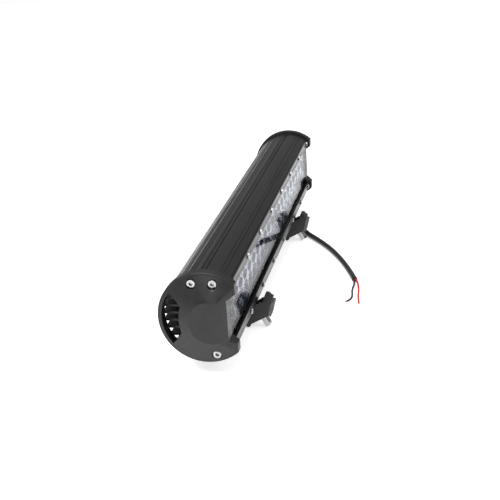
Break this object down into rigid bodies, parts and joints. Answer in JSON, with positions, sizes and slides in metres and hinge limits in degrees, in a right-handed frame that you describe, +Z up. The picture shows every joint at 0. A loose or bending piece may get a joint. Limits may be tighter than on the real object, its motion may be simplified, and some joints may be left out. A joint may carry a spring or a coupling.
{
  "type": "led light bar",
  "caption": "Round-backed finned light bar with a flat clear lens over faceted reflector cups, domed end caps, sliding tilting feet and a bare-ended cable.",
  "frame": {"origin": "on the floor under the middle of the bar, straight below the axis of its round section", "axes": "+X along the bar, -Y out of the lens, +Z up"},
  "size_m": [0.5322, 0.1714, 0.1126],
  "materials": {
    "housing_black": "black anodised, satin",
    "bezel_black": "black anodised, satin",
    "screw_silver": "satin",
    "lens_clear": "clear, polished",
    "rubber_black": "matt",
    "reflector_silver": "bright vacuum-coated silver",
    "board_white": "solder-mask white",
    "emitter_yellow": "phosphor",
    "pad_grey": "matt",
    "board_green": "solder mask",
    "component_dark": "matt",
    "lead_red": "satin",
    "cap_black": "satin powder coat",
    "vent_black": "matt",
    "gland_black": "satin",
    "jacket_black": "satin",
    "wire_red": "satin",
    "wire_black": "satin",
    "steel_nut": "plain",
    "carrier_black": "black powder coat",
    "arm_black": "black powder coat",
    "pad_rubber": "matt, ribbed",
    "steel_bright": "bright"
  },
  "bodies": {
    "bar": {"housing": "housing_black", "bezel_strip_top": "bezel_black", "bezel_strip_bottom": "bezel_black", "bezel_screws_top": "screw_silver", "bezel_screws_bottom": "screw_silver", "cap_screws_left": "screw_silver", "cap_screws_right": "screw_silver", "lens": "lens_clear", "lens_seal": "rubber_black", "cap_gasket_left": "rubber_black", "cap_gasket_right": "rubber_black", "gland_seal": "rubber_black", "reflector_1": "reflector_silver", "reflector_2": "reflector_silver", "reflector_3": "reflector_silver", "reflector_4": "reflector_silver", "reflector_5": "reflector_silver", "reflector_6": "reflector_silver", "reflector_7": "reflector_silver", "led_board": "board_white", "led_emitters": "emitter_yellow", "thermal_pad": "pad_grey", "driver_board": "board_green", "driver_chips": "component_dark", "driver_coils": "component_dark", "driver_capacitors": "component_dark", "board_link": "component_dark", "lead_pair": "lead_red", "end_cap_left": "cap_black", "end_cap_right": "cap_black", "breather_vent": "vent_black", "cable_gland": "gland_black", "gland_nut": "gland_black", "cord_jacket": "jacket_black", "red_wire": "wire_red", "black_wire": "wire_black"},
    "carrier_left_body": {"slot_nut_left": "steel_nut", "carrier_left": "carrier_black", "carrier_screws_left": "steel_bright", "pivot_bolt_left": "steel_bright", "pivot_nut_left": "steel_bright", "pivot_washers_left": "steel_bright"},
    "arm_left_body": {"arm_left": "arm_black", "foot_pad_left": "pad_rubber", "foot_bolt_left": "steel_bright", "foot_washer_left": "steel_bright", "foot_nut_left": "steel_bright"},
    "carrier_right_body": {"slot_nut_right": "steel_nut", "carrier_right": "carrier_black", "carrier_screws_right": "steel_bright", "pivot_bolt_right": "steel_bright", "pivot_nut_right": "steel_bright", "pivot_washers_right": "steel_bright"},
    "arm_right_body": {"arm_right": "arm_black", "foot_pad_right": "pad_rubber", "foot_bolt_right": "steel_bright", "foot_washer_right": "steel_bright", "foot_nut_right": "steel_bright"}
  },
  "joints": [
    {"name": "foot_slide_left", "type": "slide", "parent": "bar", "child": "carrier_left_body", "axis": [1, 0, 0], "range_m": [-0.09, 0.105]},
    {"name": "foot_tilt_left", "type": "hinge", "parent": "carrier_left_body", "child": "arm_left_body", "pos_m": [-0.12802, 0.01, 0.0108], "axis": [1, 0, 0], "range_deg": [0, 95]},
    {"name": "foot_slide_right", "type": "slide", "parent": "bar", "child": "carrier_right_body", "axis": [1, 0, 0], "range_m": [-0.105, 0]},
    {"name": "foot_tilt_right", "type": "hinge", "parent": "carrier_right_body", "child": "arm_right_body", "pos_m": [0.12802, 0.01, 0.0108], "axis": [1, 0, 0], "range_deg": [0, 10]}
  ]
}
